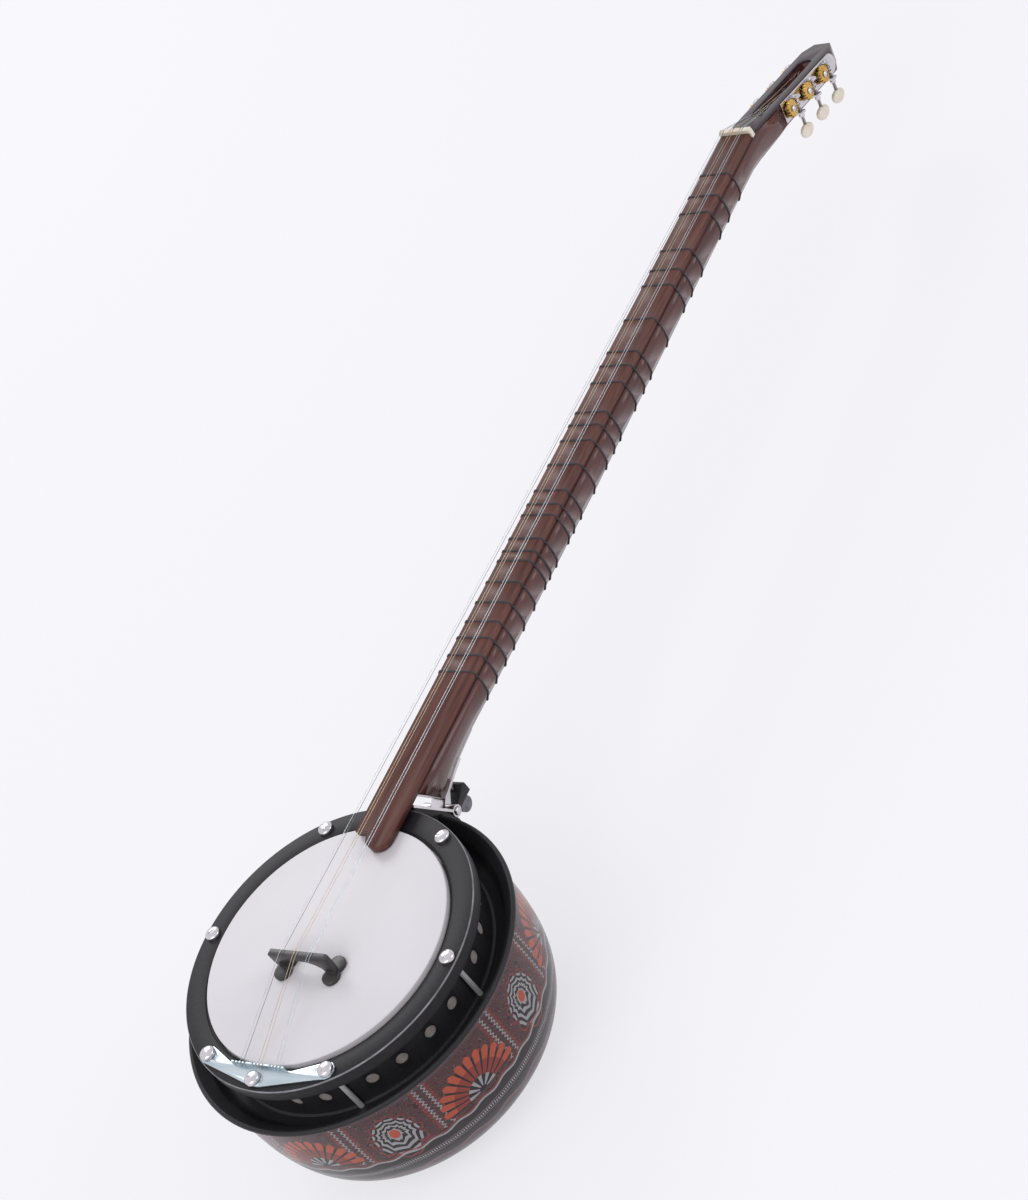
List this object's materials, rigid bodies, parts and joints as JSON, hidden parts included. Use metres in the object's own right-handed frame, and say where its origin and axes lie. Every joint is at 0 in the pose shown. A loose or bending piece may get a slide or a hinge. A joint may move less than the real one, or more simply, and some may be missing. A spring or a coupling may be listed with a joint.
{
  "type": "long-necked metal-bodied lute",
  "caption": "Long fretted neck hinged to a round spun bowl with a drum head, tension hoop, tailpiece, bridge and geared tuners in a slotted headstock.",
  "frame": {"origin": "centre of the bowl's flat back", "axes": "+Z out of the face, +Y along the neck to the headstock, +X to the treble side"},
  "size_m": [0.2734, 1.106, 0.1743],
  "materials": {
    "printed_shell": "spun shell with a glossy dark folk print",
    "black_casting": "black crinkle-painted casting",
    "charcoal": "satin charcoal paint",
    "skin": "pale drum film",
    "chrome": "bright plated",
    "steel": "plain steel",
    "dark_steel": "grey steel",
    "brass": "polished brass",
    "mahogany": "satin varnish",
    "rosewood": "satin",
    "ebony": "blackened",
    "cream": "cream pearl"
  },
  "bodies": {
    "body": {"resonator_bowl": "printed_shell", "pot_ring": "black_casting", "drum_head": "skin", "flesh_hoop": "dark_steel", "tension_hoop": "charcoal", "tension_bolt_1": "chrome", "tension_bolt_2": "chrome", "tension_bolt_3": "chrome", "tension_bolt_4": "chrome", "tension_bolt_5": "chrome", "tension_bolt_6": "chrome", "tension_bolt_7": "chrome", "tailpiece": "steel", "bridge": "ebony", "neck_bracket": "black_casting", "rim_plate": "chrome", "hinge_pin": "chrome", "bracket_screw_left": "chrome", "bracket_screw_right": "chrome", "lock_nut": "brass"},
    "neck": {"neck": "mahogany", "fingerboard": "rosewood", "headstock_veneer": "rosewood", "nut": "cream", "heel_strap": "chrome", "strap_screw_1": "chrome", "strap_screw_2": "chrome", "tuner_plate_left": "chrome", "tuner_plate_right": "chrome", "string_1": "steel", "string_2": "steel", "string_3": "brass", "string_4": "brass", "string_5": "steel", "string_6": "steel"},
    "adjuster": {"thumb_screw": "dark_steel"},
    "key_left_1": {"worm_left_1": "chrome", "button_left_1": "cream"},
    "winder_left_1": {"gear_left_1": "brass", "roller_left_1": "chrome"},
    "key_left_2": {"worm_left_2": "chrome", "button_left_2": "cream"},
    "winder_left_2": {"gear_left_2": "brass", "roller_left_2": "chrome"},
    "key_left_3": {"worm_left_3": "chrome", "button_left_3": "cream"},
    "winder_left_3": {"gear_left_3": "brass", "roller_left_3": "chrome"},
    "key_right_1": {"worm_right_1": "chrome", "button_right_1": "cream"},
    "winder_right_1": {"gear_right_1": "brass", "roller_right_1": "chrome"},
    "key_right_2": {"worm_right_2": "chrome", "button_right_2": "cream"},
    "winder_right_2": {"gear_right_2": "brass", "roller_right_2": "chrome"},
    "key_right_3": {"worm_right_3": "chrome", "button_right_3": "cream"},
    "winder_right_3": {"gear_right_3": "brass", "roller_right_3": "chrome"}
  },
  "joints": [
    {"name": "neck_tilt", "type": "hinge", "parent": "body", "child": "neck", "pos_m": [0, 0.1485, 0.108], "axis": [1, 0, 0], "range_deg": [-0.6, 0.6], "deforming": ["string_1", "string_2", "string_3", "string_4", "string_5", "string_6"]},
    {"name": "thumb_screw_turn", "type": "hinge", "parent": "body", "child": "adjuster", "pos_m": [0, 0.168, 0.09], "axis": [0, 0, 1], "range_deg": [-90, 90]},
    {"name": "key_turn_left_1", "type": "hinge", "parent": "neck", "child": "key_left_1", "pos_m": [-0.0191, 0.87847, 0.12094], "axis": [0, 0.2588, 0.9659], "continuous": true},
    {"name": "roller_turn_left_1", "type": "hinge", "parent": "neck", "child": "winder_left_1", "pos_m": [-0.0191, 0.8692, 0.12343], "axis": [1, 0, 0], "continuous": true},
    {"name": "key_turn_left_2", "type": "hinge", "parent": "neck", "child": "key_left_2", "pos_m": [-0.0191, 0.90784, 0.11308], "axis": [0, 0.2588, 0.9659], "continuous": true},
    {"name": "roller_turn_left_2", "type": "hinge", "parent": "neck", "child": "winder_left_2", "pos_m": [-0.0191, 0.89856, 0.11556], "axis": [1, 0, 0], "continuous": true},
    {"name": "key_turn_left_3", "type": "hinge", "parent": "neck", "child": "key_left_3", "pos_m": [-0.0191, 0.93643, 0.10541], "axis": [0, 0.2588, 0.9659], "continuous": true},
    {"name": "roller_turn_left_3", "type": "hinge", "parent": "neck", "child": "winder_left_3", "pos_m": [-0.0191, 0.92715, 0.1079], "axis": [1, 0, 0], "continuous": true},
    {"name": "key_turn_right_1", "type": "hinge", "parent": "neck", "child": "key_right_1", "pos_m": [0.0191, 0.87847, 0.12094], "axis": [0, 0.2588, 0.9659], "continuous": true},
    {"name": "roller_turn_right_1", "type": "hinge", "parent": "neck", "child": "winder_right_1", "pos_m": [0.0191, 0.8692, 0.12343], "axis": [1, 0, 0], "continuous": true},
    {"name": "key_turn_right_2", "type": "hinge", "parent": "neck", "child": "key_right_2", "pos_m": [0.0191, 0.90784, 0.11308], "axis": [0, 0.2588, 0.9659], "continuous": true},
    {"name": "roller_turn_right_2", "type": "hinge", "parent": "neck", "child": "winder_right_2", "pos_m": [0.0191, 0.89856, 0.11556], "axis": [1, 0, 0], "continuous": true},
    {"name": "key_turn_right_3", "type": "hinge", "parent": "neck", "child": "key_right_3", "pos_m": [0.0191, 0.93643, 0.10541], "axis": [0, 0.2588, 0.9659], "continuous": true},
    {"name": "roller_turn_right_3", "type": "hinge", "parent": "neck", "child": "winder_right_3", "pos_m": [0.0191, 0.92715, 0.1079], "axis": [1, 0, 0], "continuous": true}
  ],
  "couplings": [
    {"joint": "thumb_screw_turn", "follows": "neck_tilt", "ratio": 120},
    {"joint": "roller_turn_left_1", "follows": "key_turn_left_1", "ratio": -0.071429},
    {"joint": "roller_turn_left_2", "follows": "key_turn_left_2", "ratio": -0.071429},
    {"joint": "roller_turn_left_3", "follows": "key_turn_left_3", "ratio": -0.071429},
    {"joint": "roller_turn_right_1", "follows": "key_turn_right_1", "ratio": -0.071429},
    {"joint": "roller_turn_right_2", "follows": "key_turn_right_2", "ratio": -0.071429},
    {"joint": "roller_turn_right_3", "follows": "key_turn_right_3", "ratio": -0.071429}
  ]
}
